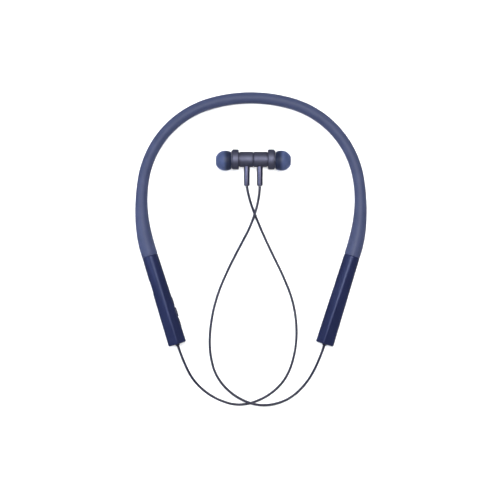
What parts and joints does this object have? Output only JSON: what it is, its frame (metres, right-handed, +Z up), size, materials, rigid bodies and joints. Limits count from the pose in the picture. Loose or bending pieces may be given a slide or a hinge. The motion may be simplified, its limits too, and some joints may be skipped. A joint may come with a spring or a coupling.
{
  "type": "neckband earphones",
  "caption": "Flexible neckband with two control pods, thin cords and magnetically docked in-ear earbuds with soft tips.",
  "frame": {"origin": "under the middle of the band and pods, on the surface that they lie on", "axes": "+Y towards the back of the neck, +Z up, +X to the right with the pods towards the viewer"},
  "size_m": [0.1378, 0.1873, 0.012],
  "materials": {
    "silicone_sleeve": "matte silicone",
    "pod_plastic": "satin moulded",
    "button_rubber": "satin",
    "grommet_rubber": "matte",
    "anodised_aluminium": "anodised, satin",
    "tip_silicone": "translucent silicone",
    "nozzle_metal": "anodised, satin",
    "mesh_steel": "woven",
    "cord_jacket": "smooth jacket",
    "liner_plastic": "extruded",
    "nitinol_wire": "drawn",
    "ferrule_brass": "crimped",
    "board_fibreglass": "solder resist",
    "tin_steel": "tinned",
    "chip_epoxy": "moulded epoxy",
    "clear_plastic": "clear moulded",
    "foil_pouch": "foil",
    "foam": "open-cell foam",
    "magnet_nickel": "nickel plated"
  },
  "bodies": {
    "root": {"battery": "foil_pouch", "battery_foam": "foam", "bluetooth_chip": "chip_epoxy", "core_tube": "liner_plastic", "harness": "cord_jacket", "left_collar": "liner_plastic", "left_cord": "cord_jacket", "left_grommet": "grommet_rubber", "left_lower_shell": "pod_plastic", "left_upper_shell": "pod_plastic", "left_wire_ferrule": "ferrule_brass", "light_pipe": "clear_plastic", "main_board": "board_fibreglass", "memory_wire": "nitinol_wire", "microphone": "tin_steel", "neckband_sleeve": "silicone_sleeve", "protection_board": "board_fibreglass", "right_collar": "liner_plastic", "right_cord": "cord_jacket", "right_grommet": "grommet_rubber", "right_lower_shell": "pod_plastic", "right_upper_shell": "pod_plastic", "right_wire_ferrule": "ferrule_brass", "shield_can": "tin_steel", "status_led": "clear_plastic", "tact_switches": "chip_epoxy", "usb_c_port": "tin_steel"},
    "left_earbud": {"left_bud_housing": "anodised_aluminium", "left_bud_ring": "anodised_aluminium", "left_dock_magnet": "magnet_nickel", "left_driver": "tin_steel", "left_nozzle": "nozzle_metal", "left_nozzle_mesh": "mesh_steel", "left_stem": "anodised_aluminium", "left_stem_plug": "grommet_rubber"},
    "right_earbud": {"right_bud_housing": "anodised_aluminium", "right_bud_ring": "anodised_aluminium", "right_dock_magnet": "magnet_nickel", "right_driver": "tin_steel", "right_nozzle": "nozzle_metal", "right_nozzle_mesh": "mesh_steel", "right_stem": "anodised_aluminium", "right_stem_plug": "grommet_rubber"},
    "left_ear_tip": {"left_ear_tip": "tip_silicone"},
    "right_ear_tip": {"right_ear_tip": "tip_silicone"},
    "volume_up_button": {"volume_up_button": "button_rubber", "volume_up_plunger": "button_rubber"},
    "play_button": {"play_button": "button_rubber", "play_plunger": "button_rubber"},
    "volume_down_button": {"volume_down_button": "button_rubber", "volume_down_plunger": "button_rubber"}
  },
  "joints": [
    {"name": "left_dock_slide", "type": "slide", "parent": "root", "child": "left_earbud", "axis": [-1, 0, 0], "range_m": [0, 0.015]},
    {"name": "right_dock_slide", "type": "slide", "parent": "root", "child": "right_earbud", "axis": [1, 0, 0], "range_m": [0, 0.015]},
    {"name": "left_tip_slide", "type": "slide", "parent": "left_earbud", "child": "left_ear_tip", "axis": [-1, 0, 0], "range_m": [0, 0.01]},
    {"name": "right_tip_slide", "type": "slide", "parent": "right_earbud", "child": "right_ear_tip", "axis": [1, 0, 0], "range_m": [0, 0.01]},
    {"name": "volume_up_press", "type": "slide", "parent": "root", "child": "volume_up_button", "axis": [-0.9548, -0.2974, 0], "range_m": [0, 0.00035], "stiffness_N_per_m": 100},
    {"name": "play_press", "type": "slide", "parent": "root", "child": "play_button", "axis": [-0.9548, -0.2974, 0], "range_m": [0, 0.00035], "stiffness_N_per_m": 100},
    {"name": "volume_down_press", "type": "slide", "parent": "root", "child": "volume_down_button", "axis": [-0.9548, -0.2974, 0], "range_m": [0, 0.00035], "stiffness_N_per_m": 100}
  ]
}
